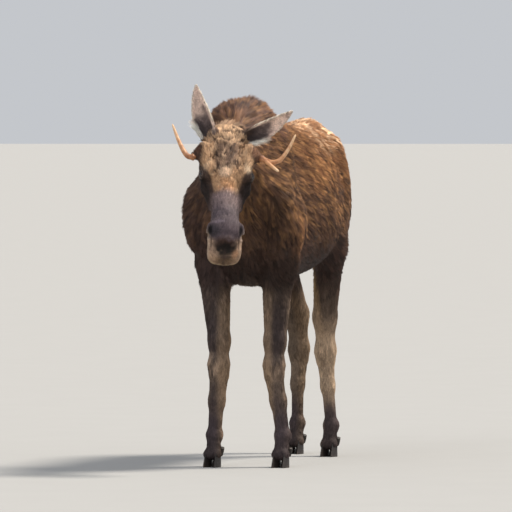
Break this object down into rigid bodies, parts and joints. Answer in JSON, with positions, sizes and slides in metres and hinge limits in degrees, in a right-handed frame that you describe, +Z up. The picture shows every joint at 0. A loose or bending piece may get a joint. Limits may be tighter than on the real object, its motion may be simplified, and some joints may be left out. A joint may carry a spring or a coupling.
{
  "type": "moose",
  "caption": "Standing young bull moose with lowered head and short spike antlers, a still life-size display model.",
  "frame": {"origin": "on the ground under the middle of the animal's box", "axes": "+Z up, the animal faces -Y and its left side is +X"},
  "size_m": [0.6542, 2.2254, 1.762],
  "materials": {
    "body_coat": "warm brown hair, golden along the back and dark below",
    "neck_coat": "long dark reddish brown hair",
    "face_coat": "short hair, tan on the forehead and grey on the nose",
    "ear_coat": "short grey-brown hair with a pale rim",
    "leg_coat": "short grey-brown hair, paler on the inner side",
    "horn": "dark, slightly glossy hoof horn",
    "antler": "polished orange-brown antler with pale tips",
    "eyeball": "wet, very dark brown"
  },
  "bodies": {
    "root": {"trunk": "body_coat", "tail": "body_coat", "neck": "neck_coat", "bell": "neck_coat", "head": "face_coat", "ear_left": "ear_coat", "ear_right": "ear_coat", "eye_left": "eyeball", "eye_right": "eyeball", "antler_right": "antler", "antler_left_beam": "antler", "antler_left_front_tine": "antler", "foreleg_left": "leg_coat", "foreleg_right": "leg_coat", "hindleg_left": "leg_coat", "hindleg_right": "leg_coat", "hoof_foreleg_left_left": "horn", "hoof_foreleg_left_right": "horn", "hoof_foreleg_right_left": "horn", "hoof_foreleg_right_right": "horn", "hoof_hindleg_left_left": "horn", "hoof_hindleg_left_right": "horn", "hoof_hindleg_right_left": "horn", "hoof_hindleg_right_right": "horn", "dewclaw_foreleg_left_left": "horn", "dewclaw_foreleg_left_right": "horn", "dewclaw_foreleg_right_left": "horn", "dewclaw_foreleg_right_right": "horn", "dewclaw_hindleg_left_left": "horn", "dewclaw_hindleg_left_right": "horn", "dewclaw_hindleg_right_left": "horn", "dewclaw_hindleg_right_right": "horn"}
  },
  "joints": []
}
